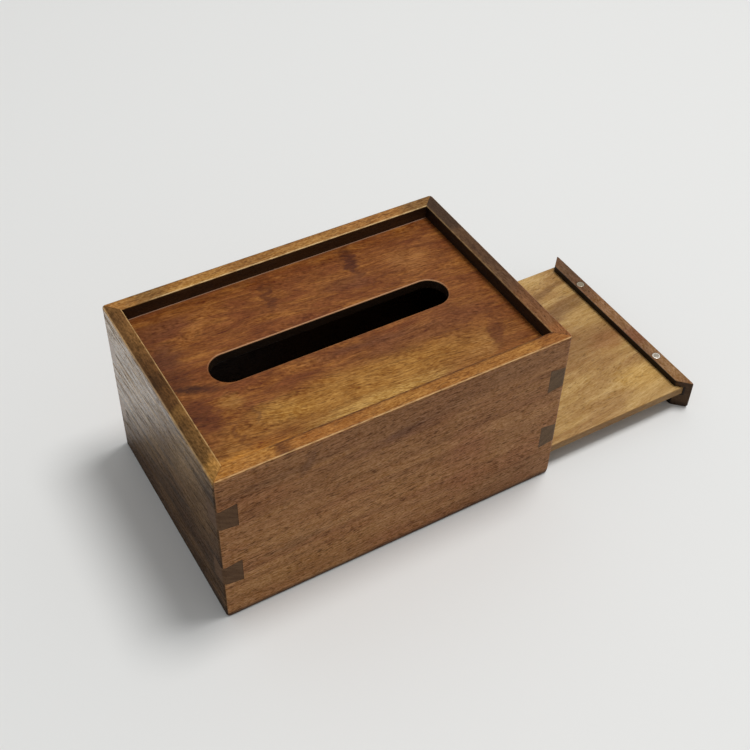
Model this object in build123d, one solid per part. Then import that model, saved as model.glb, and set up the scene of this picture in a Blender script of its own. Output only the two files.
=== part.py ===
from build123d import *
import math
import os

# Walnut tissue box. Four mitred walls, locked by dovetail keys across the corners, carry a slotted
# top panel in a groove. The tissues lie on a base panel that slides out to the right in grooves in
# the long walls, behind a strip sawn from the foot of the right wall. Magnets hold it shut.
# All sizes are in millimetres. Right is +X, back is +Y, and the table is at Z = 0.

# Case
case_length = 200.0
case_width = 136.5
case_height = 105.0
wall_thickness = 8.0
corner_radius = 2.0  # sanded on the four upright corners
rim_radius = 0.9  # sanded round the outside of the rim
foot_radius = 1.2  # sanded round the outside of the foot
inner_rim_radius = 0.5
sawn_radius = 0.4  # eased on the edges left by the saw between the right wall and the strip

# Relief at the foot of each long wall, where the base comes out
toe_height = 8.5
toe_radius = 15.0

# Top panel
rim_height = 8.0  # from the panel's face up to the rim
top_panel_thickness = 6.0
top_groove_depth = 4.0
top_panel_play = 0.4  # left at each edge, so that the panel can swell
slot_length = 138.2
slot_width = 21.0
slot_set_back = 3.1
slot_edge_radius = 0.7

# Dovetail keys, two across each corner
key_height = 16.0  # at the wide, inner end
key_flare = 12.0  # degrees from level, each flank
key_backing = 3.7  # wood left between a key and the inside corner
lower_key_above_foot = 34.0
upper_key_below_rim = 28.2

# Sliding base, shown drawn out
pull_out = 103.5
base_panel_underside = 10.0
base_panel_thickness = 5.3
base_panel_edge_radius = 0.5  # eased along both sides
base_groove_depth = 4.0
base_groove_headroom = 0.4
base_side_play = 0.6
base_end_play = 0.5  # from the groove in the left wall when shut
base_end_footroom = 0.3  # below the panel in that groove, so that its end slides home freely
strip_floor_gap = 0.3
strip_height = 19.2
strip_foot_radius = 1.8
mitre_gap = 0.2
saw_gap = 0.5  # from the strip up to the right wall

# Magnets
magnet_diameter = 5.0
magnet_thickness = 2.0
magnet_bevel = 0.3
magnet_spacing = 75.4
magnet_glue_gap = 0.1  # round the side of a magnet

# Cutting shapes run this far past the wood they cut
overcut = 5.0

# Sizes that follow from the ones above
inner_length = case_length - 2 * wall_thickness
inner_width = case_width - 2 * wall_thickness
top_panel_face = case_height - rim_height
top_panel_underside = top_panel_face - top_panel_thickness
strip_top = strip_floor_gap + strip_height
right_wall_foot = strip_top + saw_gap
magnet_line = (case_length - wall_thickness) / 2
key_depth = wall_thickness * math.sqrt(2) - key_backing

# Corners are numbered anticlockwise from the front left. Each wall runs from its own corner to the next.
corner_names = ["front_left", "front_right", "back_right", "back_left"]
front, right, back, left = range(4)
key_levels = {"lower": lower_key_above_foot, "upper": case_height - upper_key_below_rim}


def corners(inset):
    """Plan corners of the case, moved in from the outside by inset."""
    x = case_length / 2 - inset
    y = case_width / 2 - inset
    return [Vector(-x, -y), Vector(x, -y), Vector(x, y), Vector(-x, y)]


def mitred_blank(wall, low, high, shortened=0.0):
    """Wall board between two heights, with both ends cut at 45 degrees in plan."""
    start, end = corners(0)[wall], corners(0)[(wall + 1) % 4]
    inner_start, inner_end = corners(wall_thickness)[wall], corners(wall_thickness)[(wall + 1) % 4]
    trim = (end - start).normalized() * shortened
    outline = Polyline(start + trim, end - trim, inner_end - trim, inner_start + trim, close=True)
    return Pos(0, 0, low) * extrude(make_face(outline), high - low)


def sanded_block(low, high, low_radius, high_radius):
    """Outside of the case between two heights, with its corners and both outlines rounded."""
    block = Pos(0, 0, (low + high) / 2) * Box(case_length, case_width, high - low)
    block = fillet(block.edges().filter_by(Axis.Z), corner_radius)
    block = fillet(block.edges().group_by(Axis.Z)[-1], high_radius)
    return fillet(block.edges().group_by(Axis.Z)[0], low_radius)


def groove_ring(low, high, depth):
    """Level slab whose edge cuts a groove of the given depth into the inside of the walls."""
    size = (inner_length + 2 * depth, inner_width + 2 * depth, high - low)
    return Pos(0, 0, (low + high) / 2) * Box(*size)


def keyway(corner, level):
    """Dovetail prism that lies level across a corner and is narrowest at its edge."""
    turn = math.radians(45 + 90 * corner)
    inward = Vector(math.cos(turn), math.sin(turn), 0)
    across = Vector(math.sin(turn), -math.cos(turn), 0)
    edge = corners(0)[corner] + Vector(0, 0, level)
    inner_half = key_height / 2
    outer_half = inner_half - (key_depth + overcut) * math.tan(math.radians(key_flare))
    profile = Polyline(
        (key_depth, inner_half),
        (key_depth, -inner_half),
        (-overcut, -outer_half),
        (-overcut, outer_half),
        close=True,
    )
    across_corner = Plane(origin=edge, x_dir=inward, z_dir=across)
    return extrude(across_corner * make_face(profile), key_depth + overcut, both=True)


def toe_relief():
    """Waste below a wide arc at the right-hand foot of the long walls."""
    arc_centre = Pos(case_length / 2 - toe_radius, 0, toe_height)
    reach = toe_radius + overcut
    size = (reach, case_width + 2 * overcut, toe_height + overcut)
    block = Box(*size, align=(Align.MIN, Align.CENTER, Align.MAX))
    arc = Rot(90, 0, 0) * Cylinder(toe_radius, case_width + 4 * overcut)
    return arc_centre * (block - arc)


def magnet_places():
    """Plan points of the magnets with the base shut, front one first."""
    return [(magnet_line, -magnet_spacing / 2), (magnet_line, magnet_spacing / 2)]


def magnet_pockets(low, high):
    """Blind holes for both magnets between two heights."""
    radius = magnet_diameter / 2 + magnet_glue_gap
    hole = Cylinder(radius, high - low, align=(Align.CENTER, Align.CENTER, Align.MIN))
    return [Pos(x, y, low) * hole for x, y in magnet_places()]


def magnet(place, low, shown_end):
    """Disc magnet standing on low, with the rim of its bare end bevelled."""
    x, y = place
    disc = Cylinder(magnet_diameter / 2, magnet_thickness, align=(Align.CENTER, Align.CENTER, Align.MIN))
    rim = disc.edges().group_by(Axis.Z)[shown_end]
    return Pos(x, y, low) * chamfer(rim, magnet_bevel)


def case_wall(wall, foot=0.0, edge_radius=foot_radius):
    """Wall with its top groove, keyways and the eased inner edge of the rim."""
    board = sanded_block(foot, case_height, edge_radius, rim_radius) & mitred_blank(wall, foot, case_height)
    rim_edges = board.edges().group_by(Axis.Z)[-1]
    inner_edge = rim_edges.sort_by_distance((0, 0, case_height))[0]
    board = fillet(inner_edge, inner_rim_radius)
    board -= groove_ring(top_panel_underside, top_panel_face, top_groove_depth)
    for corner in (wall, (wall + 1) % 4):
        for level in key_levels.values():
            board -= keyway(corner, level)
    return board


def base_groove(footroom=0.0):
    """Slab that cuts the groove for the base panel, with headroom so that it slides."""
    floor = base_panel_underside - footroom
    roof = base_panel_underside + base_panel_thickness + base_groove_headroom
    return groove_ring(floor, roof, base_groove_depth)


def long_wall(wall):
    return case_wall(wall) - base_groove() - toe_relief()


def left_wall():
    return case_wall(left) - base_groove(base_end_footroom)


def right_wall():
    """Wall that stops above the base's strip and holds the upper magnets in its sawn edge."""
    board = case_wall(right, right_wall_foot, sawn_radius)
    for pocket in magnet_pockets(right_wall_foot - overcut, right_wall_foot + magnet_thickness):
        board -= pocket
    return board


def top_panel():
    """Panel held in the groove all round, with a round-ended slot for the tissues."""
    reach = 2 * (top_groove_depth - top_panel_play)
    board = Box(inner_length + reach, inner_width + reach, top_panel_thickness)
    outline = board.edges()
    board -= Pos(0, slot_set_back, 0) * extrude(
        SlotOverall(slot_length, slot_width), top_panel_thickness / 2 + overcut, both=True
    )
    slot_edges = [edge for edge in board.edges().filter_by(Plane.XY) if edge not in outline]
    board = fillet(slot_edges, slot_edge_radius)
    return Pos(0, 0, top_panel_face - top_panel_thickness / 2) * board


def base_panel():
    """Panel that runs in the long walls' grooves and is glued into the strip's groove."""
    left_end = -inner_length / 2 - base_groove_depth + base_end_play
    right_end = inner_length / 2 + base_groove_depth
    width = inner_width + 2 * (base_groove_depth - base_side_play)
    board = Box(right_end - left_end, width, base_panel_thickness)
    board = fillet(board.edges().filter_by(Axis.X), base_panel_edge_radius)
    return Pos((left_end + right_end) / 2, 0, base_panel_underside + base_panel_thickness / 2) * board


def base_strip():
    """Foot of the right wall, with its mitred ends free and magnets in its sawn edge."""
    board = sanded_block(strip_floor_gap, strip_top, strip_foot_radius, sawn_radius)
    board &= mitred_blank(right, strip_floor_gap, strip_top, mitre_gap)
    board -= base_groove()
    for pocket in magnet_pockets(strip_top - magnet_thickness, strip_top + overcut):
        board -= pocket
    return board


# Every piece is made with the base shut and the case about X = 0
case_block = sanded_block(0, case_height, foot_radius, rim_radius)
case = {
    "front_wall": long_wall(front),
    "right_wall": right_wall(),
    "back_wall": long_wall(back),
    "left_wall": left_wall(),
    "top_panel": top_panel(),
}
for corner, corner_name in enumerate(corner_names):
    for level_name, level in key_levels.items():
        case[f"{corner_name}_{level_name}_key"] = keyway(corner, level) & case_block
base = {
    "base_panel": base_panel(),
    "base_strip": base_strip(),
}
for end_name, place in zip(("front", "back"), magnet_places()):
    case[f"{end_name}_wall_magnet"] = magnet(place, right_wall_foot, 0)
    base[f"{end_name}_strip_magnet"] = magnet(place, strip_top - magnet_thickness, -1)

# Case and drawn base share the space evenly about X = 0
os.makedirs("parts", exist_ok=True)
for group, shift in ((case, -pull_out / 2), (base, pull_out / 2)):
    for name, piece in group.items():
        export_step(Pos(shift, 0, 0) * piece, f"parts/{name}.step")
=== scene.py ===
import bpy
import math
import numpy as np
from mathutils import Matrix, Vector


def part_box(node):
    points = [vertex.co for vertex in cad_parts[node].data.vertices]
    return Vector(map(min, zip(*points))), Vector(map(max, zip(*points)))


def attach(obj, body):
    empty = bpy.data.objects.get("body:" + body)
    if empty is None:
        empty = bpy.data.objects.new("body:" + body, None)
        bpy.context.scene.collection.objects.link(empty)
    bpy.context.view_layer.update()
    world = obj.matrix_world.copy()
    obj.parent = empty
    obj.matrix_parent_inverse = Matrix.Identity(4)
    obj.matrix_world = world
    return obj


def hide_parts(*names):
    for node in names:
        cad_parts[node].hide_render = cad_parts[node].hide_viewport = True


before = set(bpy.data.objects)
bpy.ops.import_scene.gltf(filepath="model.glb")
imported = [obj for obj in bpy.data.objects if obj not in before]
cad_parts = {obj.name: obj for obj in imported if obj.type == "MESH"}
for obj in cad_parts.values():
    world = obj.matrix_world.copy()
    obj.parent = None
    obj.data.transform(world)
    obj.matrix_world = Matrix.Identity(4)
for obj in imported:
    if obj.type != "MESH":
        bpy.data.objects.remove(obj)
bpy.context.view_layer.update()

# Looks of the walnut tissue box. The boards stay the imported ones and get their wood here, and the
# four magnets are turned again with a rounded rim. Places are in metres, patterns on the wood in mm,
# and colours are as they show on screen, 0 to 255. A span is where a smooth step starts and ends.
perMetre = 1000  # mm

# What the finishes need to know of the box, read from the frame
caseLow = Vector((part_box("left_wall")[0].x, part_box("front_wall")[0].y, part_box("front_wall")[0].z))
caseHigh = Vector((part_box("right_wall")[1].x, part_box("back_wall")[1].y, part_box("back_wall")[1].z))
caseMiddle = (caseLow + caseHigh) / 2
baseShift = Vector((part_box("base_strip")[1].x - caseHigh.x, 0, 0))  # how far the base is drawn out
wallThickness = (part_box("front_wall")[1].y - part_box("front_wall")[0].y) * perMetre
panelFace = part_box("top_panel")[1].z


def tone(red, green, blue):  # screen colour as the light that a shader wants, by the sRGB curve
    shown = np.array([red, green, blue]) / 255
    light = np.where(shown < 0.04045, shown / 12.92, ((shown + 0.055) / 1.055) ** 2.4)
    return (*light.tolist(), 1.0)


def put(tree, kind, feeds=None, **settings):  # adds a node; a feed is a value or another node's socket
    made = tree.nodes.new("ShaderNode" + kind)
    for name, value in settings.items():
        setattr(made, name, value)
    for socket, feed in (feeds or {}).items():
        if isinstance(feed, bpy.types.NodeSocket):
            tree.links.new(feed, made.inputs[socket])
        else:
            made.inputs[socket].default_value = feed
    return made


def calc(tree, operation, first, second=0.0, third=0.0):
    return put(tree, "Math", {0: first, 1: second, 2: third}, operation=operation).outputs[0]


def vectorCalc(tree, operation, first, second=(0, 0, 0), third=(0, 0, 0)):
    return put(tree, "VectorMath", {0: first, 1: second, 2: third}, operation=operation).outputs[0]


def split(tree, place):
    return put(tree, "SeparateXYZ", {0: place}).outputs[:]


def length(tree, vector):
    return put(tree, "VectorMath", {0: vector}, operation="LENGTH").outputs["Value"]


def ease(tree, value, span, low=0.0, high=1.0):  # smooth step from low to high
    start, end = span
    feeds = {"Value": value, "From Min": start, "From Max": end, "To Min": low, "To Max": high}
    return put(tree, "MapRange", feeds, interpolation_type="SMOOTHSTEP").outputs[0]


def mixed(tree, amount, under, over):
    return put(tree, "Mix", {0: amount, 6: under, 7: over}, data_type="RGBA").outputs[2]


def stained(tree, wood, amount, colour):
    return mixed(tree, amount, wood, tone(*colour))


def ownAxes(tree, place, centre, turn, scale):
    feeds = {"Vector": place, "Location": centre, "Rotation": turn, "Scale": scale}
    return put(tree, "Mapping", feeds, vector_type="TEXTURE").outputs[0]


# For each pattern, what is added to the seed, so that no two on a board are alike, and its detail
patterns = {
    "sway": (0, 1.0),
    "streak": (3, 4.0),
    "blush": (7, 2.0),
    "stray": (11, 3.0),
    "fibre": (13, 3.0),
    "mottle": (15, 4.0),
    "ripple": (17, 2.0),
    "pore": (19, 1.0),
    "fleck": (21, 2.0),
    "line": (23, 3.0),
    "grit": (25, 1.0),
    "ring": (0, 3.0),
    "speck": (2, 1.0),
    "smudge": (0, 4.0),
}


def pattern(tree, place, name, look, output=0):  # a cell is how long, wide and deep its lumps are
    added, detail = patterns[name]
    perCell = tuple(1 / side for side in look[name + "Cell"])
    scaled = vectorCalc(tree, "MULTIPLY_ADD", place, perCell, (look["seed"] + added,) * 3)
    feeds = {"Vector": scaled, "Scale": 1.0, "Detail": detail, "Roughness": 0.55}
    return put(tree, "TexNoise", feeds).outputs[output]


def aboutZero(tree, noise):  # noise lies about 0.5
    return calc(tree, "SUBTRACT", noise, 0.5)


def depths(tree, place, low, high):  # mm below the nearer of each pair of faces of a box
    over = vectorCalc(tree, "SUBTRACT", place, tuple(low))
    under = vectorCalc(tree, "SUBTRACT", tuple(high), place)
    nearer = vectorCalc(tree, "MINIMUM", over, under)
    return split(tree, vectorCalc(tree, "MULTIPLY", nearer, (perMetre,) * 3))


def arrisDistance(tree, x, y, z):  # on a face one depth is 0, and the middle one leads to the nearest arris
    smaller = calc(tree, "MINIMUM", x, y)
    larger = calc(tree, "MAXIMUM", x, y)
    return calc(tree, "MAXIMUM", smaller, calc(tree, "MINIMUM", larger, z))


def newFinish(name):  # material, its tree and shader, and the place in metres
    finish = bpy.data.materials.new(name)
    finish.use_nodes = True
    tree = finish.node_tree
    return finish, tree, tree.nodes["Principled BSDF"], put(tree, "TexCoord").outputs["Object"]


# Pattern axes are along the grain, across the face and into the board
quarter = math.pi / 2
boardTurns = {
    "flat": (0, 0, 0),  # grain along X, face up
    "long": (quarter, 0, 0),  # grain along X, face to the front
    "short": (quarter, 0, quarter),  # grain along Y, face to the side
}

# Walnut that the boards share, in mm. Each board's own dictionary overrides what differs.
walnutLook = {
    "sway": 7.0,  # how far the grain wanders across the board
    "swayCell": (75, 20, 30),
    "swaySink": 0.5,  # share of that by which it also wanders into the board
    "slope": 0.0,  # grain runs up by this much for each mm along
    "streakCell": (120, 4.5, 8),
    "streakSpan": (0.34, 0.66),
    "dark": (116, 74, 42),
    "middle": (146, 98, 56),
    "light": (170, 122, 72),
    "stray": (16, 7, 0),  # how far clouds and marks stray, so that nothing lines up
    "strayCell": (9, 4, 9),
    "blush": (128, 74, 44),  # reddish clouds
    "blushAmount": 0.5,
    "blushCell": (46, 22, 22),
    "blushSpan": (0.42, 0.62),
    "marks": (),  # soft ellipses: middle, half size and tone, and a turn or softness of their own
    "markEdge": 0.85,  # share of the half size where it has faded by half
    "markSoft": 0.5,
    "markDepth": 1000,  # so deep that it goes through every board
    "shadeTint": (0.72, 1.0, 1.8),  # dark spots keep more of their red than of their blue
    "shadeSwing": 4,  # times the amounts of the five layers below
    "shadeLeast": 0.15,
    "fibre": 0.22,
    "fibreCell": (16, 0.6, 0.6),
    "fleck": 0.2,
    "fleckCell": (4.5, 1.2, 1.2),
    "grit": 0.4,
    "gritCell": (1.7, 0.8, 0.8),
    "mottle": 0.1,
    "mottleCell": (16, 8, 12),
    "ripple": 0.06,
    "rippleCell": (3.5, 18, 18),
    "pore": (60, 35, 18),
    "poreCell": (2.8, 0.55, 0.55),
    "poreAmount": 0.6,
    "poreFrom": 0.57,
    "poreSoft": 0.13,
    "poreClouds": 0.2,  # how much thicker they stand in the clouds
    "lineCell": (24, 0.95, 4),  # long lines of open grain, on some boards
    "lineFrom": 0.5,
    "lineSoft": 0.1,
    "lineAmount": 0.0,
    "rimSpan": (0.9, 0.2),  # depth at which the sanded top edge begins
    "rimPores": 1.0,  # share of them left open on the top edge
    "rimGain": (1.0, 1.0, 1.0),  # how much of each colour the top edge keeps
    "rimFade": (1.0, 1.0),  # the same for all of it, at its outer and its inner edge
    # arris tones: wear and painted highlight where pale, painted shade where dark
    "arrisTone": (196, 146, 88),
    "arrisAmount": 0.5,
    "arrisWidth": 0.9,
    "arrisFull": 0.1,  # nearer than this an arris has its tone in full
    "innerArris": 0.0,  # amount on the inner edge of the rim
    "innerArrisTone": (206, 168, 112),
    "innerWidth": 0.9,
    "innerFrom": (-1001, -1000),  # where along the board it begins, here before its end
    "patchSpan": (0.35, 0.6),
    "patchLeast": 0.45,  # share of the arris tone that is left in its gaps
    "mitred": True,
    "foot": 0.9,  # painted shade along the foot of the walls
    "footShadeSpan": (0.0045, 0.0006),  # metres up from the foot
    "footShadeTone": (38, 27, 19),
    "mitreWidth": 0.3,
    "mitreFull": 0.4,  # share of the width
    "mitreAmount": 0.4,
    "mitreTone": (46, 27, 16),
    "inner": (30, 17, 10),  # painted shade on the inside faces
    "innerShadeAmount": 0.9,
    "innerShadeOutside": (0.6, 0.1),  # how far outside the inside face the painted shade begins
    "innerShadeBelow": (0.35, 0.7),  # and how far below the rim
    "roughness": 0.45,
    "fibreRough": 0.16,
    "poreRough": 0.25,
    "lineRough": 0.15,
    "refraction": 1.25,
    "bump": 0.5,
    "bumpDepth": 0.00012,  # metres
    "fibreHeight": 0.5,
    "waves": 1.0,  # depth of the lines of open grain
}


# Places on a board in mm: along it, with the grain's sway and slope taken out, and strayed
def grainPlaces(tree, place, turn, look):
    board = ownAxes(tree, place, look["centre"], boardTurns[turn], (1 / perMetre,) * 3)
    along = split(tree, board)[0]
    sway = pattern(tree, board, "sway", look)
    lift = calc(tree, "MULTIPLY", aboutZero(tree, sway), look["sway"] * 2)
    lift = calc(tree, "MULTIPLY_ADD", along, -look["slope"], lift)
    sink = calc(tree, "MULTIPLY", lift, look["swaySink"])
    shift = put(tree, "CombineXYZ", {"Y": lift, "Z": sink}).outputs[0]
    waved = vectorCalc(tree, "ADD", board, shift)
    ragged = pattern(tree, board, "stray", look, "Color")
    start = vectorCalc(tree, "ADD", board, tuple(-side / 2 for side in look["stray"]))
    strayed = vectorCalc(tree, "MULTIPLY_ADD", ragged, look["stray"], start)
    return along, waved, strayed


# Streaks between three tones, reddish clouds and single marks
def figure(tree, waved, strayed, cloud, look):
    ramp = put(tree, "ValToRGB", {0: pattern(tree, waved, "streak", look)})
    stops = ramp.color_ramp.elements
    stops[0].position, stops[1].position = look["streakSpan"]
    stops.new(sum(look["streakSpan"]) / 2)
    for stop, name in zip(stops, ("dark", "middle", "light")):
        stop.color = tone(*look[name])
    blushed = ease(tree, cloud, look["blushSpan"], 0, look["blushAmount"])
    wood = stained(tree, ramp.outputs[0], blushed, look["blush"])
    for mark in look["marks"]:
        turned = (0, 0, math.radians(mark.get("turn", 0)))
        spread = (*mark["size"], look["markDepth"])
        inMark = ownAxes(tree, strayed, (*mark["at"], 0), turned, spread)
        soft = mark.get("soft", look["markSoft"])
        edge = (look["markEdge"] + soft, look["markEdge"] - soft)
        amount = ease(tree, length(tree, inMark), edge, 0, mark["amount"])
        wood = stained(tree, wood, amount, mark["tone"])
    return wood


# Fibres, flecks, grit, mottling and ripples lighten and darken the wood
def shaded(tree, waved, strayed, fibre, fleck, wood, look):
    grit = pattern(tree, waved, "grit", look)
    mottle = pattern(tree, strayed, "mottle", look)
    ripple = pattern(tree, strayed, "ripple", look)
    layers = {"fibre": fibre, "fleck": fleck, "grit": grit, "mottle": mottle, "ripple": ripple}
    shade = 0.0
    for name, layer in layers.items():
        shade = calc(tree, "MULTIPLY_ADD", aboutZero(tree, layer), look[name] * look["shadeSwing"], shade)
    shade = vectorCalc(tree, "MULTIPLY_ADD", shade, look["shadeTint"], (1, 1, 1))
    shade = vectorCalc(tree, "MAXIMUM", shade, (look["shadeLeast"],) * 3)
    return vectorCalc(tree, "MULTIPLY", wood, shade)


# Pores: short dark dashes, thick on the ground where the clouds are dark
def openPores(tree, waved, cloud, onRim, look):
    pores = pattern(tree, waved, "pore", look)
    pores = calc(tree, "MULTIPLY_ADD", aboutZero(tree, cloud), look["poreClouds"], pores)
    pore = ease(tree, pores, (look["poreFrom"], look["poreFrom"] + look["poreSoft"]))
    return calc(tree, "MULTIPLY", pore, ease(tree, onRim, (0, 1), 1, look["rimPores"]))


# Long lines of open grain, on the faces but not on the top edge
def openLines(tree, waved, onRim, look):
    span = (look["lineFrom"], look["lineFrom"] + look["lineSoft"])
    lines = ease(tree, pattern(tree, waved, "line", look), span)
    return calc(tree, "MULTIPLY", lines, calc(tree, "SUBTRACT", 1, onRim))


# Film of oil on the left face, rubbed brighter towards its upper back corner, where the wood below
# is lightened as a painted sheen. Open grain breaks it. Returns the wood with its painted sheen
def oilFilmAndSheen(tree, shader, place, wood, broken, film):
    fromMiddle = vectorCalc(tree, "SUBTRACT", place, tuple(caseMiddle))
    feeds = {0: fromMiddle, 1: film["way"]}
    way = put(tree, "VectorMath", feeds, operation="DOT_PRODUCT").outputs["Value"]
    weight = ease(tree, way, film["waySpan"], film["least"], film["most"])
    inward = calc(tree, "SUBTRACT", split(tree, place)[0], caseLow.x)
    weight = calc(tree, "MULTIPLY", weight, ease(tree, inward, film["faceSpan"]))
    tree.links.new(calc(tree, "MULTIPLY", weight, broken), shader.inputs["Coat Weight"])
    shader.inputs["Coat Roughness"].default_value = film["roughness"]
    shader.inputs["Coat IOR"].default_value = film["refraction"]
    # painted sheen: the wood is lightened where the film is
    gain = vectorCalc(tree, "MULTIPLY_ADD", weight, film["fade"], (1, 1, 1))
    return vectorCalc(tree, "MULTIPLY", wood, gain)


# Sanded top edge and the arrises: worn, with painted highlight where their tone is pale and painted
# shade where it is dark. The inner arris lies where the rim meets the inside face
def sandedEdgesAndLight(tree, sides, along, onRim, fleck, wood, look):
    x, y, z = sides
    feeds = {0: onRim, 4: (1, 1, 1), 5: look["rimGain"]}
    gain = put(tree, "Mix", feeds, data_type="VECTOR").outputs[1]
    wood = vectorCalc(tree, "MULTIPLY", wood, gain)
    across = calc(tree, "MINIMUM", x, y)
    fade = ease(tree, across, (0, wallThickness), *look["rimFade"])
    fade = calc(tree, "MULTIPLY_ADD", calc(tree, "SUBTRACT", fade, 1), onRim, 1)
    wood = put(tree, "VectorMath", {0: wood, "Scale": fade}, operation="SCALE").outputs[0]
    patchy = ease(tree, fleck, look["patchSpan"], look["patchLeast"], 1)
    span = (look["arrisWidth"], look["arrisFull"])
    arrisWearAndLight = ease(tree, arrisDistance(tree, x, y, z), span, 0, look["arrisAmount"])
    wood = stained(tree, wood, calc(tree, "MULTIPLY", arrisWearAndLight, patchy), look["arrisTone"])
    way = calc(tree, "ABSOLUTE", calc(tree, "SUBTRACT", across, wallThickness))
    span = (look["innerWidth"], look["arrisFull"])
    arrisWearAndLight = ease(tree, calc(tree, "MAXIMUM", way, z), span, 0, look["innerArris"])
    arrisWearAndLight = calc(tree, "MULTIPLY", arrisWearAndLight, ease(tree, along, look["innerFrom"]))
    return stained(tree, wood, calc(tree, "MULTIPLY", arrisWearAndLight, patchy), look["innerArrisTone"])


# Painted shade along the foot, glue line of the mitre, and painted shade on the inside faces
def wallShadeAndGlue(tree, place, low, sides, wood, look):
    x, y, z = sides
    above = calc(tree, "SUBTRACT", split(tree, place)[2], low.z)
    wood = stained(tree, wood, ease(tree, above, look["footShadeSpan"], 0, look["foot"]), look["footShadeTone"])
    glue = calc(tree, "ABSOLUTE", calc(tree, "SUBTRACT", x, y))
    span = (look["mitreWidth"], look["mitreWidth"] * look["mitreFull"])
    wood = stained(tree, wood, ease(tree, glue, span, 0, look["mitreAmount"]), look["mitreTone"])
    span = [wallThickness - way for way in look["innerShadeOutside"]]
    inside = ease(tree, calc(tree, "MINIMUM", x, y), span)
    inside = calc(tree, "MULTIPLY", inside, ease(tree, z, look["innerShadeBelow"]))
    return stained(tree, wood, calc(tree, "MULTIPLY", inside, look["innerShadeAmount"]), look["inner"])


# A board's wood. The box between low and high has its faces where the board's are
def walnut(name, turn, low, high, own):
    look = {**walnutLook, **own}
    finish, tree, shader, place = newFinish(name)
    along, waved, strayed = grainPlaces(tree, place, turn, look)
    sides = depths(tree, place, low, high)
    onRim = ease(tree, sides[2], look["rimSpan"])
    cloud = pattern(tree, strayed, "blush", look)
    fibre = pattern(tree, waved, "fibre", look)
    fleck = pattern(tree, waved, "fleck", look)

    wood = figure(tree, waved, strayed, cloud, look)
    wood = shaded(tree, waved, strayed, fibre, fleck, wood, look)
    pore = openPores(tree, waved, cloud, onRim, look)
    wood = stained(tree, wood, calc(tree, "MULTIPLY", pore, look["poreAmount"]), look["pore"])
    openGrain = 0.0
    if look["lineAmount"]:
        openGrain = openLines(tree, waved, onRim, look)
        wood = stained(tree, wood, calc(tree, "MULTIPLY", openGrain, look["lineAmount"]), look["pore"])
    if "film" in look:
        film = look["film"]
        broken = calc(tree, "MULTIPLY_ADD", openGrain, -film["open"], 1.0)
        broken = calc(tree, "MULTIPLY_ADD", pore, -film["pore"], broken)
        broken = calc(tree, "MULTIPLY_ADD", aboutZero(tree, fibre), film["fibre"], broken)
        wood = oilFilmAndSheen(tree, shader, place, wood, broken, film)
    wood = sandedEdgesAndLight(tree, sides, along, onRim, fleck, wood, look)
    if look["mitred"]:
        wood = wallShadeAndGlue(tree, place, low, sides, wood, look)
    if "detail" in look:
        wood = look["detail"](tree, place, wood)
    tree.links.new(wood, shader.inputs["Base Color"])

    # Open pores, raised fibres and sunken lines
    smoothest = look["roughness"] - look["fibreRough"] / 2
    rough = calc(tree, "MULTIPLY_ADD", fibre, look["fibreRough"], smoothest)
    rough = calc(tree, "MULTIPLY_ADD", pore, look["poreRough"], rough)
    rough = calc(tree, "MULTIPLY_ADD", openGrain, look["lineRough"], rough)
    tree.links.new(rough, shader.inputs["Roughness"])
    shader.inputs["IOR"].default_value = look["refraction"]
    height = calc(tree, "MULTIPLY", fibre, look["fibreHeight"])
    height = calc(tree, "MULTIPLY_ADD", pore, -1.0, height)
    height = calc(tree, "SUBTRACT", height, calc(tree, "MULTIPLY", openGrain, look["waves"]))
    feeds = {"Height": height, "Strength": look["bump"], "Distance": look["bumpDepth"]}
    tree.links.new(put(tree, "Bump", feeds).outputs[0], shader.inputs["Normal"])
    return finish


def dress(finish, name):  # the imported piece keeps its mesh
    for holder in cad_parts[name].material_slots:
        holder.material = finish


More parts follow.
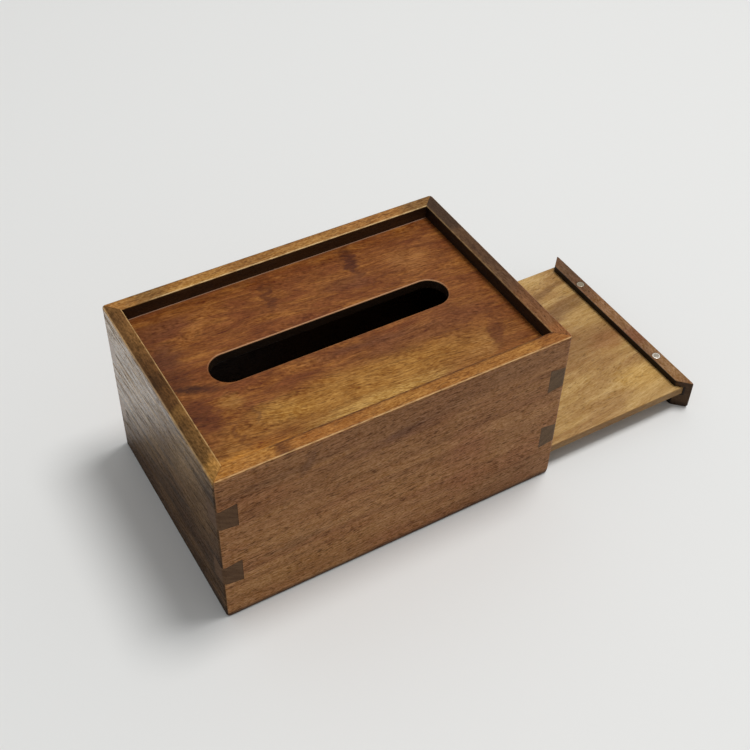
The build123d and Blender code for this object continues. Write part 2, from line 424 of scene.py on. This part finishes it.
frontLook = {
    "seed": 2.0,
    "centre": tuple(caseMiddle),
    "slope": 0.02,
    "sway": 4.0,
    "dark": (136, 90, 50),
    "middle": (150, 102, 58),
    "light": (164, 116, 68),
    "blush": (144, 86, 48),
    "blushAmount": 0.35,
    "poreCell": (4.5, 0.65, 0.6),
    "poreFrom": 0.58,
    "poreSoft": 0.07,
    "poreAmount": 0.7,
    "pore": (70, 36, 10),
    "rimPores": 0.7,
    "rimGain": (1.15, 1.08, 0.58),
    # pale outer arris: wear and painted highlight
    "arrisTone": (240, 200, 144),
    "arrisAmount": 0.9,
    "arrisWidth": 0.7,
    "innerArris": 1.0,
    # dark inner arris: painted shade along the rim's inner edge
    "innerArrisTone": (66, 32, 4),
    "innerWidth": 2.0,
    "innerFrom": (-78, -58),
    "fibre": 0.4,
    "grit": 0.42,
    "marks": [
        {"at": (3, 34), "size": (14, 2.6), "turn": 6, "tone": (86, 52, 34), "amount": 0.7},
        {"at": (-62, 53), "size": (4.5, 2.5), "tone": (78, 38, 18), "amount": 0.95},
        {"at": (-38, 53), "size": (24, 2.5), "tone": (142, 84, 46), "amount": 0.5},
        {"at": (55, 53), "size": (24, 2.5), "tone": (138, 90, 52), "amount": 0.5},
        {"at": (92, 53), "size": (14, 2.5), "tone": (132, 80, 46), "amount": 0.7},
        {"at": (3, 34), "size": (40, 7), "turn": 4, "tone": (118, 76, 48), "amount": 0.5},
        {"at": (-52, 41), "size": (9, 3.0), "turn": 62, "tone": (92, 56, 36), "amount": 0.65},
        {"at": (-70, 38), "size": (44, 3), "turn": 2, "tone": (108, 70, 42), "amount": 0.5},
        {"at": (-58, -15.5), "size": (24, 2.4), "turn": 3, "tone": (98, 62, 38), "amount": 0.5},
        {"at": (0, 46), "size": (130, 12), "tone": (128, 86, 50), "amount": 0.5},
        {"at": (0, 20), "size": (130, 9), "tone": (134, 90, 50), "amount": 0.4},
        {"at": (0, -9), "size": (130, 10), "tone": (166, 120, 68), "amount": 0.35},
        {"at": (-55, -36), "size": (44, 12), "tone": (158, 114, 60), "amount": 0.4},
        {"at": (40, -5), "size": (16, 26), "tone": (140, 82, 48), "amount": 0.4},
        {"at": (75, -42), "size": (45, 14), "tone": (120, 80, 46), "amount": 0.5},
    ],
}
leftFilm = {
    "way": (0, 0.6, 0.8),  # it grows along this, in metres from the middle of the case
    "waySpan": (-0.016, 0.045),
    "faceSpan": (0.001, 0.0003),  # metres inward, so that only the left face has it
    "least": 0.0,
    "most": 1.0,
    "fade": (2.3, 2.6, 1.45),  # painted sheen: how much lighter the wood below gets, in each colour
    "open": 0.85,  # how much of it the open grain breaks
    "pore": 0.4,
    "fibre": 1.2,
    "roughness": 0.12,
    "refraction": 1.65,
}
backLook = {
    **frontLook,
    "seed": 31.0,
    "slope": -0.02,
    "rimGain": (1.12, 1.19, 0.84),
    "rimPores": 0.9,
    # dark outer arris: painted shade
    "arrisTone": (48, 34, 22),
    "arrisAmount": 0.85,
    "arrisWidth": 1.3,
    "innerArris": 0.9,
    # pale inner arris: wear and painted highlight
    "innerArrisTone": (226, 194, 140),
    "innerWidth": 0.8,
    "innerFrom": (-84, -64),
    "marks": [
        {"at": (-76, 52), "size": (12, 4), "tone": (96, 66, 36), "amount": 0.6},
        {"at": (-20, 52), "size": (12, 4), "tone": (128, 84, 46), "amount": 0.5},
        {"at": (90, 52), "size": (16, 5), "tone": (98, 70, 44), "amount": 0.65},
    ],
}
leftLook = {
    "seed": 12.0,
    "centre": tuple(caseMiddle),
    "sway": 2.2,
    "slope": -0.09,
    "dark": (50, 33, 17),
    "middle": (76, 53, 30),
    "light": (98, 71, 43),
    "blush": (60, 36, 18),
    "shadeTint": (0.95, 1.0, 1.25),
    "fibre": 0.36,
    "refraction": 1.15,
    "film": leftFilm,
    "lineAmount": 0.5,
    "poreCell": (1.8, 0.6, 0.6),
    "poreFrom": 0.54,
    "poreAmount": 0.5,
    "rimPores": 0.4,
    "pore": (34, 24, 14),
    "arrisTone": (206, 174, 128),
    "arrisAmount": 0.4,
    "innerArris": 0.8,
    "rimFade": (0.7, 1.3),
    "marks": [
        {"at": (-40, 14), "size": (26, 28), "turn": 10, "tone": (106, 78, 46), "amount": 0.75},
        {"at": (-10, -12), "size": (50, 1.6), "turn": -16, "tone": (36, 24, 14), "amount": 0.6},
        {"at": (-57, -27), "size": (10, 8), "tone": (44, 32, 22), "amount": 0.5},
        {"at": (0, 54), "size": (90, 4), "tone": (84, 55, 27), "amount": 1.0},
        {"at": (42, 54), "size": (22, 4), "tone": (112, 78, 41), "amount": 0.85},
        {"at": (-42, 54), "size": (24, 4), "tone": (104, 74, 38), "amount": 0.85},
        {"at": (-66, 54), "size": (12, 4), "tone": (164, 118, 58), "amount": 0.85},
        {"at": (4, 54), "size": (7, 4), "tone": (60, 38, 18), "amount": 0.7},
        {"at": (-22, 54), "size": (6, 4), "tone": (112, 80, 40), "amount": 0.7},
        {"at": (66, 54), "size": (8, 4), "tone": (124, 88, 46), "amount": 0.7},
    ],
}
rightLook = {
    "seed": 23.0,
    "centre": tuple(caseMiddle),
    "dark": (72, 48, 34),
    "middle": (108, 76, 52),
    "light": (138, 102, 72),
    "blush": (66, 46, 36),
    "blushCell": (34, 10, 22),
    "blushAmount": 0.65,
    # painted shade on the inside faces, darker on this wall
    "inner": (14, 8, 5),
    "rimGain": (0.86, 0.77, 0.52),
    "fleck": 0.24,
    "innerArris": 0.3,
    "marks": [
        {"at": (50, 52), "size": (24, 9), "tone": (54, 37, 25), "amount": 0.85},
        {"at": (27, 52), "size": (7, 9), "tone": (100, 74, 54), "amount": 0.6},
        {"at": (10, 52), "size": (18, 9), "tone": (66, 44, 30), "amount": 0.65},
        {"at": (-42, 52), "size": (24, 9), "tone": (124, 80, 50), "amount": 0.6},
        {"at": (-64, 52), "size": (8, 9), "tone": (146, 92, 52), "amount": 0.7},
    ],
}
dress(walnut("frontWalnut", "long", caseLow, caseHigh, frontLook), "front_wall")
dress(walnut("backWalnut", "long", caseLow, caseHigh, backLook), "back_wall")
dress(walnut("leftWalnut", "short", caseLow, caseHigh, leftLook), "left_wall")
dress(walnut("rightWalnut", "short", caseLow, caseHigh, rightLook), "right_wall")
print("walls dressed")

# Top panel: red-brown, golden towards the front, with flames, a painted highlight on the arris round the
# slot and painted shade inside the slot. Lengths in metres, from the middle of the slot
slotLook = {
    "halfRun": 0.0586,  # of its straight sides
    "radius": 0.0105,
    "setBack": 0.0031,
    # painted highlight on the arris round the slot
    "arris": (200, 150, 108),
    "arrisSpan": (0.0009, 0.0004),
    "backward": ((-0.004, 0.009), 0.15, 0.75),  # the painted highlight is stronger at the back
    "rightward": ((-0.0685, -0.056), 0.25, 1),  # and fades towards the left end
    "paleLine": (176, 140, 116),
    "paleLineAmount": 0.65,
    "paleLineWidth": 0.0008,  # along the back wall
    "paleLineFull": 0.0003,
    # painted shade inside the slot
    "inside": (8, 4, 2),
    "insideAmount": 0.97,
    "insideSpan": (-0.0001, -0.0006),
}


# Painted highlight on the arris round the slot, a pale line along the back wall and painted shade
# inside the slot. Distance from the slot's outline: to the nearer end of its middle line, less its radius
def panelEdges(tree, place, wood):
    middle = (caseMiddle.x, slotLook["setBack"], panelFace)
    x, y, z = split(tree, vectorCalc(tree, "SUBTRACT", place, middle))
    past = calc(tree, "SUBTRACT", calc(tree, "ABSOLUTE", x), slotLook["halfRun"])
    flat = put(tree, "CombineXYZ", {"X": calc(tree, "MAXIMUM", past, 0), "Y": y}).outputs[0]
    gap = calc(tree, "ABSOLUTE", calc(tree, "SUBTRACT", length(tree, flat), slotLook["radius"]))
    arrisWearAndLight = ease(tree, gap, slotLook["arrisSpan"])
    arrisWearAndLight = calc(tree, "MULTIPLY", arrisWearAndLight, ease(tree, y, *slotLook["backward"]))
    arrisWearAndLight = calc(tree, "MULTIPLY", arrisWearAndLight, ease(tree, x, *slotLook["rightward"]))
    wood = stained(tree, wood, arrisWearAndLight, slotLook["arris"])
    backEdge = caseHigh.y - wallThickness / perMetre - slotLook["setBack"]
    span = (backEdge - slotLook["paleLineWidth"], backEdge - slotLook["paleLineFull"])
    wood = stained(tree, wood, ease(tree, y, span, 0, slotLook["paleLineAmount"]), slotLook["paleLine"])
    inside = ease(tree, z, slotLook["insideSpan"], 0, slotLook["insideAmount"])
    return stained(tree, wood, inside, slotLook["inside"])


topPanelLook = {
    "seed": 44.0,
    "centre": tuple(caseMiddle),
    "mitred": False,
    "arrisAmount": 0.0,
    "dark": (110, 60, 21),
    "middle": (124, 71, 26),
    "light": (140, 86, 33),
    "blush": (104, 50, 18),
    "blushAmount": 0.6,
    "blushCell": (26, 11, 16),
    "streakCell": (30, 3.0, 8),
    "sway": 9.0,
    "slope": -0.15,
    "fibre": 0.48,
    "fleck": 0.18,
    "fleckCell": (3.6, 1.1, 1.2),
    "gritCell": (2.2, 0.7, 0.8),
    "mottle": 0.36,
    "mottleCell": (13, 6, 12),
    "ripple": 0.1,
    "rippleCell": (5, 16, 16),
    "poreCell": (4.5, 0.7, 0.7),
    "poreFrom": 0.56,
    "poreAmount": 0.42,
    "pore": (78, 42, 10),
    "lineCell": (18, 0.8, 3),
    "lineFrom": 0.57,
    "lineAmount": 0.5,
    "waves": 0.5,
    "detail": panelEdges,
    "marks": [
        {"at": (-2, -40), "size": (80, 15), "tone": (160, 112, 46), "amount": 0.75},
        {"at": (-6, -54), "size": (46, 7), "turn": 2, "tone": (190, 146, 74), "amount": 0.65},
        {"at": (-48, -36), "size": (16, 7), "turn": -20, "tone": (170, 122, 52), "amount": 0.5},
        {"at": (62, -46), "size": (14, 8), "turn": 30, "tone": (170, 120, 60), "amount": 0.5},
        {"at": (-62, 38), "size": (26, 5), "turn": 40, "tone": (156, 100, 44), "amount": 0.4},
        {"at": (62, 32), "size": (12, 10), "turn": -30, "tone": (150, 98, 48), "amount": 0.45},
        {"at": (-85, 24), "size": (9, 12), "tone": (80, 40, 20), "amount": 0.7},
        {"at": (-78, 45), "size": (18, 9), "tone": (92, 48, 24), "amount": 0.6},
        {"at": (-84, -22), "size": (9, 15), "turn": 10, "tone": (90, 43, 14), "amount": 0.9, "soft": 0.3},
        {"at": (-74, -42), "size": (1.6, 13), "turn": 4, "tone": (100, 56, 24), "amount": 0.6},
        {"at": (-84, -50), "size": (12, 9), "tone": (156, 106, 46), "amount": 0.6},
        {"at": (-78, -58), "size": (28, 8), "tone": (194, 130, 50), "amount": 0.8},
        {"at": (30, -22), "size": (36, 7), "tone": (110, 65, 32), "amount": 0.55},
        {"at": (62, -18), "size": (24, 12), "tone": (106, 60, 26), "amount": 0.45},
        {"at": (-85, 8), "size": (9, 9), "tone": (84, 40, 14), "amount": 0.6},
        {"at": (-68, -20), "size": (6, 7), "tone": (156, 108, 50), "amount": 0.65},
        {"at": (-83, -2), "size": (12, 2.4), "turn": -26, "tone": (54, 22, 5), "amount": 0.95, "soft": 0.7},
        {"at": (-73, -6), "size": (6, 3.4), "turn": -20, "tone": (76, 34, 10), "amount": 0.7, "soft": 0.8},
        {"at": (34, 46), "size": (4.2, 16), "turn": -8, "tone": (74, 32, 8), "amount": 0.95},
        {"at": (-18, 42), "size": (2.6, 13), "turn": -8, "tone": (82, 38, 10), "amount": 0.8},
        {"at": (24, 31), "size": (16, 6), "turn": -12, "tone": (100, 56, 30), "amount": 0.5},
        {"at": (10, -15), "size": (34, 3.5), "turn": -3, "tone": (100, 58, 32), "amount": 0.55},
        {"at": (73, -40), "size": (12, 5), "turn": 62, "tone": (98, 50, 16), "amount": 0.85, "soft": 0.4},
        {"at": (-60, -32), "size": (1.6, 8), "turn": -10, "tone": (100, 62, 32), "amount": 0.5},
    ],
}
dress(walnut("panelWalnut", "flat", caseLow, caseHigh, topPanelLook), "top_panel")
print("top panel dressed")

# Base: pale panel with brown bands, and the strip, which was sawn from the right wall
baseLow, baseHigh = caseLow + baseShift, caseHigh + baseShift
panelLow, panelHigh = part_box("base_panel")


# Dark glue and painted shade of the gap round the open ends of the base panel's groove, on the
# strip's mitred faces. Lengths in mm
grooveGlueAndShade = {
    "tone": (16, 10, 6),
    "amount": 0.85,
    "span": (1.1, 0.5),  # beyond the panel
    "mitreSpan": (0.6, 0.4),
}


def grooveEnds(tree, place, wood):
    x, y, z = depths(tree, place, baseLow, baseHigh)
    fromPanel = vectorCalc(tree, "SUBTRACT", place, tuple((panelLow + panelHigh) / 2))
    fromPanel = split(tree, vectorCalc(tree, "MULTIPLY", fromPanel, (perMetre,) * 3))
    halfPanel = (panelHigh - panelLow) * perMetre / 2
    beyond = calc(tree, "SUBTRACT", fromPanel[0], halfPanel.x)
    above = calc(tree, "SUBTRACT", calc(tree, "ABSOLUTE", fromPanel[2]), halfPanel.z)
    fromMitre = calc(tree, "ABSOLUTE", calc(tree, "SUBTRACT", x, y))
    onMitre = ease(tree, fromMitre, grooveGlueAndShade["mitreSpan"])
    # glue and painted shade of the gap
    glue = calc(tree, "MAXIMUM", beyond, above)
    glue = ease(tree, glue, grooveGlueAndShade["span"], 0, grooveGlueAndShade["amount"])
    return stained(tree, wood, calc(tree, "MULTIPLY", glue, onMitre), grooveGlueAndShade["tone"])


# Painted shade on the sides of the base panel. Lengths in mm
sideShadeLook = {"tone": (104, 72, 40), "amount": 0.6, "span": (0.5, 0.1)}


def shadedSides(tree, place, wood):
    inward = depths(tree, place, panelLow, panelHigh)[1]
    sideShade = ease(tree, inward, sideShadeLook["span"], 0, sideShadeLook["amount"])
    return stained(tree, wood, sideShade, sideShadeLook["tone"])


basePanelLook = {
    "seed": 57.0,
    "centre": tuple(caseMiddle + baseShift),
    "mitred": False,
    "slope": 0.16,
    "streakCell": (90, 4.0, 8),
    "dark": (160, 121, 70),
    "middle": (176, 139, 84),
    "light": (190, 154, 98),
    "blush": (146, 104, 62),
    "fibre": 0.26,
    "fleck": 0.1,
    "grit": 0.14,
    "ripple": 0.03,
    "poreCell": (5, 0.5, 0.5),
    "poreAmount": 0.4,
    "bump": 0.3,
    "arrisTone": (205, 170, 118),
    "arrisAmount": 0.15,
    "detail": shadedSides,
    "marks": [
        {"at": (82, -9), "size": (16, 9), "turn": 10, "tone": (140, 84, 44), "amount": 0.6},
        {"at": (82, -44), "size": (18, 11), "tone": (200, 158, 86), "amount": 0.5},
        {"at": (50, 23), "size": (60, 8), "turn": 12, "tone": (104, 66, 38), "amount": 0.75},
        {"at": (50, 40), "size": (60, 3), "turn": 14, "tone": (112, 76, 44), "amount": 0.6},
        {"at": (50, -6), "size": (60, 12), "turn": 8, "tone": (124, 84, 50), "amount": 0.6},
    ],
}
stripLook = {
    **rightLook,
    "centre": tuple(caseMiddle + baseShift),
    # painted shade on the strip's inside face, nearly black
    "innerShadeAmount": 0.98,
    "dark": (90, 61, 40),
    "middle": (122, 87, 56),
    "light": (146, 108, 70),
    "blush": (120, 68, 42),
    "blushAmount": 0.45,
    "mitreWidth": 0.5,
    "mitreAmount": 0.85,
    "mitreTone": (44, 28, 12),
    "detail": grooveEnds,
    "marks": [
        {"at": (48, 0), "size": (22, 90), "tone": (92, 66, 42), "amount": 0.6},
        {"at": (10, 0), "size": (16, 90), "tone": (132, 92, 58), "amount": 0.4},
        {"at": (-18, 0), "size": (9, 90), "tone": (118, 66, 40), "amount": 0.55},
        {"at": (-55, 0), "size": (14, 90), "tone": (150, 112, 70), "amount": 0.6},
    ],
}
dress(walnut("baseWalnut", "flat", panelLow, panelHigh, basePanelLook), "base_panel")
dress(walnut("stripWalnut", "short", baseLow, baseHigh, stripLook), "base_strip")
print("base dressed")

# Dovetail keys: dark end grain, sawn across the corner. Lengths in mm
keyLook = {
    "seed": 5.0,
    "dark": (90, 67, 43),
    "light": (104, 79, 53),
    "ringCell": (30, 1.4, 9),
    "ringSpan": (0.3, 0.7),
    "line": (40, 27, 18),  # glue and pores
    "speckCell": (4, 0.4, 0.4),
    "speckSpan": (0.58, 0.68),
    "poreAmount": 0.5,
    "poreRough": 0.2,
    "roughness": 0.5,
    "refraction": 1.25,
    "bump": 0.4,
    "bumpDepth": -0.0001,  # metres, inward
    "flare": math.radians(12),
    "glueLine": 0.35,
    "glueFull": 0.3,  # share of the line
    "glueAmount": 0.55,
}
leftKeyLook = {
    **keyLook,
    "seed": 8.0,
    "dark": (84, 60, 41),
    "light": (100, 75, 53),
    "refraction": 1.15,
    # painted sheen on the keys' left faces, weaker than on the wall
    "film": {**leftFilm, "most": 0.85, "fade": (1.2, 1.2, 0.8), "pore": 0.5},
}


# Rings across the end grain. The glue line follows the dovetail's outline, whose half height grows
# inward from the corner: half = widest - (reach - inward) tan(flare)
def keyEndGrain(name, node, look, turn):
    finish, tree, shader, place = newFinish(name)
    block = ownAxes(tree, place, tuple(caseMiddle), turn, (1 / perMetre,) * 3)
    rings = ease(tree, pattern(tree, block, "ring", look), look["ringSpan"])
    wood = mixed(tree, rings, tone(*look["dark"]), tone(*look["light"]))
    pore = ease(tree, pattern(tree, block, "speck", look), look["speckSpan"])
    wood = stained(tree, wood, calc(tree, "MULTIPLY", pore, look["poreAmount"]), look["line"])

    low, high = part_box(node)
    widest = (high.z - low.z) * perMetre / 2
    reach = (high.x - low.x) * perMetre / math.sqrt(2)
    x, y, z = depths(tree, place, caseLow, caseHigh)
    inward = calc(tree, "DIVIDE", calc(tree, "ADD", x, y), math.sqrt(2))
    short = calc(tree, "SUBTRACT", reach, inward)
    half = calc(tree, "MULTIPLY_ADD", short, -math.tan(look["flare"]), widest)
    level = calc(tree, "SUBTRACT", split(tree, place)[2], (low.z + high.z) / 2)
    level = calc(tree, "MULTIPLY", calc(tree, "ABSOLUTE", level), perMetre)
    edge = calc(tree, "MINIMUM", calc(tree, "SUBTRACT", half, level), short)
    span = (look["glueLine"], look["glueLine"] * look["glueFull"])
    wood = stained(tree, wood, ease(tree, edge, span, 0, look["glueAmount"]), look["line"])
    if "film" in look:
        broken = calc(tree, "MULTIPLY_ADD", pore, -look["film"]["pore"], 1.0)
        wood = oilFilmAndSheen(tree, shader, place, wood, broken, look["film"])
    tree.links.new(wood, shader.inputs["Base Color"])
    rough = calc(tree, "MULTIPLY_ADD", pore, look["poreRough"], look["roughness"])
    tree.links.new(rough, shader.inputs["Roughness"])
    shader.inputs["IOR"].default_value = look["refraction"]
    feeds = {"Height": pore, "Strength": look["bump"], "Distance": look["bumpDepth"]}
    tree.links.new(put(tree, "Bump", feeds).outputs[0], shader.inputs["Normal"])
    return finish


eighth = math.pi / 4
for corner, way in (("front_left", -1), ("back_right", -1), ("front_right", 1), ("back_left", 1)):
    for level in ("lower", "upper"):
        name = f"{corner}_{level}_key"
        look = leftKeyLook if corner.endswith("left") else keyLook
        finish = keyEndGrain("keyWalnut_" + name, name, look, (eighth, 0, way * eighth))
        dress(finish, name)
print("keys dressed")

# Magnets: nickel-plated discs with a rounded rim. Shares are of the radius
magnetLook = {
    "turns": 96,
    "rimSteps": 8,
    "rim": 0.0003,  # radius of the rounding
    "flatRings": (0.25, 0.5, 0.75, 0.9),  # shares at which the flat ends have a ring
    "wornSpan": (0.8, 0.64),  # shares between which the bright ring gives way to the worn middle
    "seed": 3.0,
    "smudgeCell": (0.9, 0.9, 0.9),  # mm
    "smudgeSpan": (0.3, 0.6),
    "smudgeLeast": 0.6,
    "roughness": 0.36,
    "wornRough": 0.15,
    "scratches": 60.0,  # in a turn
    "scratchDetail": 3.0,
    "bump": 0.15,
    "bumpDepth": 0.00003,
    "front": {"plating": (214, 206, 196), "worn": (112, 104, 92), "dull": 0.85},
    # back magnets: the same nickel in dimmer tones, as painted shade
    "back": {"plating": (158, 148, 132), "worn": (126, 116, 100), "dull": 0.9},
}


def nickelPlating(name, look, own):
    finish, tree, shader, place = newFinish(name)
    ringPlace = put(tree, "UVMap", uv_map="turned").outputs[0]
    share = split(tree, ringPlace)[1]
    inMm = vectorCalc(tree, "MULTIPLY", place, (perMetre,) * 3)
    feeds = {"Vector": ringPlace, "Scale": look["scratches"], "Detail": look["scratchDetail"]}
    scratched = put(tree, "TexNoise", feeds).outputs[0]
    centre = ease(tree, share, look["wornSpan"], 0, own["dull"])
    smudge = pattern(tree, inMm, "smudge", look)
    smudged = ease(tree, smudge, look["smudgeSpan"], look["smudgeLeast"], 1)
    dull = calc(tree, "MULTIPLY", centre, smudged)
    colour = mixed(tree, dull, tone(*own["plating"]), tone(*own["worn"]))
    tree.links.new(colour, shader.inputs["Base Color"])
    rough = calc(tree, "MULTIPLY_ADD", dull, look["wornRough"], look["roughness"])
    tree.links.new(rough, shader.inputs["Roughness"])
    shader.inputs["Metallic"].default_value = 1.0
    feeds = {"Height": scratched, "Strength": look["bump"], "Distance": look["bumpDepth"]}
    tree.links.new(put(tree, "Bump", feeds).outputs[0], shader.inputs["Normal"])
    return finish


# Disc turned about its upright axis. A profile of radius and height runs from the middle of the
# foot, round the lower rim, up the side, over the upper rim and in to the middle of the top.
# Each profile point goes round in a ring: x = centre + radius cos(turn), y = centre + radius sin(turn).
def turnedMagnet(name, node, look, finish):
    low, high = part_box(node)
    centre = (low + high) / 2
    outer = (high.x - low.x) / 2
    swing = np.linspace(0, quarter, look["rimSteps"])
    inward = outer - look["rim"]
    rimRadius = inward + look["rim"] * np.sin(swing)
    rimHeight = look["rim"] * (1 - np.cos(swing))
    inner = inward * np.array(look["flatRings"])
    radius = np.concatenate([inner, rimRadius, rimRadius[::-1], inner[::-1]])
    flat = np.zeros(len(inner))
    height = np.concatenate([flat + low.z, low.z + rimHeight, (high.z - rimHeight)[::-1], flat + high.z])
    turns = np.arange(look["turns"]) * 2 * math.pi / look["turns"]
    ringX = centre.x + np.outer(radius, np.cos(turns))
    ringY = centre.y + np.outer(radius, np.sin(turns))
    ringZ = np.repeat(height[:, None], len(turns), axis=1)
    rings = np.stack([ringX, ringY, ringZ], -1).reshape(-1, 3)
    poles = np.array([[centre.x, centre.y, low.z], [centre.x, centre.y, high.z]])
    count = len(turns)
    here = np.arange(count)
    following = np.roll(here, -1)
    rows = np.arange(len(radius) - 1)[:, None] * count
    quads = np.stack([rows + here, rows + following, rows + count + following, rows + count + here], -1)
    foot, top = len(rings), len(rings) + 1
    last = (len(radius) - 1) * count
    footFan = np.stack([np.full(count, foot), following, here], -1)
    topFan = np.stack([np.full(count, top), last + here, last + following], -1)
    mesh = bpy.data.meshes.new(name)
    faces = quads.reshape(-1, 4).tolist() + footFan.tolist() + topFan.tolist()
    mesh.from_pydata(np.vstack([rings, poles]).tolist(), [], faces)
    corners = np.zeros(len(mesh.loops), np.int32)
    mesh.loops.foreach_get("vertex_index", corners)
    spots = np.vstack([rings, poles])[corners]
    away = spots[:, :2] - np.array([centre.x, centre.y])
    share = np.hypot(away[:, 0], away[:, 1]) / outer
    angle = np.arctan2(away[:, 1], away[:, 0]) / (2 * math.pi)
    mesh.uv_layers.new(name="turned").data.foreach_set("uv", np.stack([angle, share], -1).ravel())
    mesh.polygons.foreach_set("use_smooth", np.ones(len(mesh.polygons), bool))
    mesh.materials.append(finish)
    mesh.update()
    piece = bpy.data.objects.new(name, mesh)
    bpy.context.scene.collection.objects.link(piece)
    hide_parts(node)
    return piece


for end in ("front", "back"):
    plating = nickelPlating(end + "Nickel", magnetLook, magnetLook[end])
    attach(turnedMagnet(f"{end}_wall_disc", f"{end}_wall_magnet", magnetLook, plating), "case")
    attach(turnedMagnet(f"{end}_strip_disc", f"{end}_strip_magnet", magnetLook, plating), "base")
print("magnets turned")

# Studio: pale floor, soft overhead light from the right, even fill from all round. Metres
studio = {
    "floorTone": (228, 228, 226),
    "floorRoughness": 0.6,
    "floorHalf": 40.0,
    "fadeSpan": (0.8, 1.8),  # from the box, where the floor turns into the backdrop
    "fill": 0.555,
    "fillTone": (224, 225, 226),
    "backdrop": (226, 226, 223),
    "lampTurn": 17.0,  # degrees from overhead towards the right
    "lampReach": 2.6,
    "lampWidth": 0.95,
    "lampPower": 42.2,
}
floorMesh = bpy.data.meshes.new("floor")
half = studio["floorHalf"]
floorCorners = [(-half, -half, 0), (half, -half, 0), (half, half, 0), (-half, half, 0)]
floorMesh.from_pydata(floorCorners, [], [(0, 1, 2, 3)])
floor = bpy.data.objects.new("floor", floorMesh)
bpy.context.scene.collection.objects.link(floor)
floorPaint, floorTree, floorShader, floorPlace = newFinish("floorPaint")
floorShader.inputs["Base Color"].default_value = tone(*studio["floorTone"])
floorShader.inputs["Roughness"].default_value = studio["floorRoughness"]

# Far from the box, what the camera sees of the floor is the backdrop's colour, so no edge shows
far = ease(floorTree, length(floorTree, floorPlace), studio["fadeSpan"])
far = calc(floorTree, "MULTIPLY", far, put(floorTree, "LightPath").outputs["Is Camera Ray"])
glow = put(floorTree, "Emission", {"Color": tone(*studio["backdrop"])})
blend = put(floorTree, "MixShader", {0: far, 1: floorShader.outputs[0], 2: glow.outputs[0]})
floorTree.links.new(blend.outputs[0], floorTree.nodes["Material Output"].inputs["Surface"])
floorMesh.materials.append(floorPaint)

world = bpy.data.worlds.new("studio")
world.use_nodes = True
bpy.context.scene.world = world
sky = world.node_tree
background = sky.nodes["Background"]
rays = put(sky, "LightPath").outputs
mirrored = calc(sky, "MAXIMUM", rays["Is Glossy Ray"], rays["Is Transmission Ray"])
seen = calc(sky, "MAXIMUM", rays["Is Camera Ray"], mirrored)
colour = mixed(sky, seen, tone(*studio["fillTone"]), tone(*studio["backdrop"]))
sky.links.new(colour, background.inputs["Color"])
strength = calc(sky, "MULTIPLY_ADD", seen, 1 - studio["fill"], studio["fill"])
sky.links.new(strength, background.inputs["Strength"])

lamp = bpy.data.lights.new("softLamp", "AREA")
lamp.shape = "DISK"
lamp.size = studio["lampWidth"]
lamp.energy = studio["lampPower"]
lampHolder = bpy.data.objects.new("softLamp", lamp)
lampTurn = math.radians(studio["lampTurn"])
lampWay = Vector((math.sin(lampTurn), 0, math.cos(lampTurn)))
lampHolder.location = caseMiddle + lampWay * studio["lampReach"]
lampHolder.rotation_euler = (0, lampTurn, 0)
bpy.context.scene.collection.objects.link(lampHolder)
print("studio lit")

# Camera: matched to the photograph's edges of the box
viewpoint = {
    "place": (-0.27, -0.39892, 0.51713),
    "azimuth": 31.32,  # degrees from +Y towards +X
    "elevation": 44.752,
    "roll": 1.702,
    "lens": 57.631,
    "sensor": 36.0,
    "nearest": 0.01,  # metres, where it begins to see
}
camera = bpy.data.cameras.new("camera")
camera.lens = viewpoint["lens"]
camera.sensor_width = viewpoint["sensor"]
camera.clip_start = viewpoint["nearest"]
cameraHolder = bpy.data.objects.new("camera", camera)
heading = Matrix.Rotation(-math.radians(viewpoint["azimuth"]), 4, "Z")
tilt = Matrix.Rotation(quarter - math.radians(viewpoint["elevation"]), 4, "X")
roll = Matrix.Rotation(math.radians(viewpoint["roll"]), 4, "Z")
cameraHolder.matrix_world = Matrix.Translation(viewpoint["place"]) @ heading @ tilt @ roll
bpy.context.scene.collection.objects.link(cameraHolder)
bpy.context.scene.camera = cameraHolder
bpy.context.scene.view_settings.view_transform = "Standard"
print("camera set")
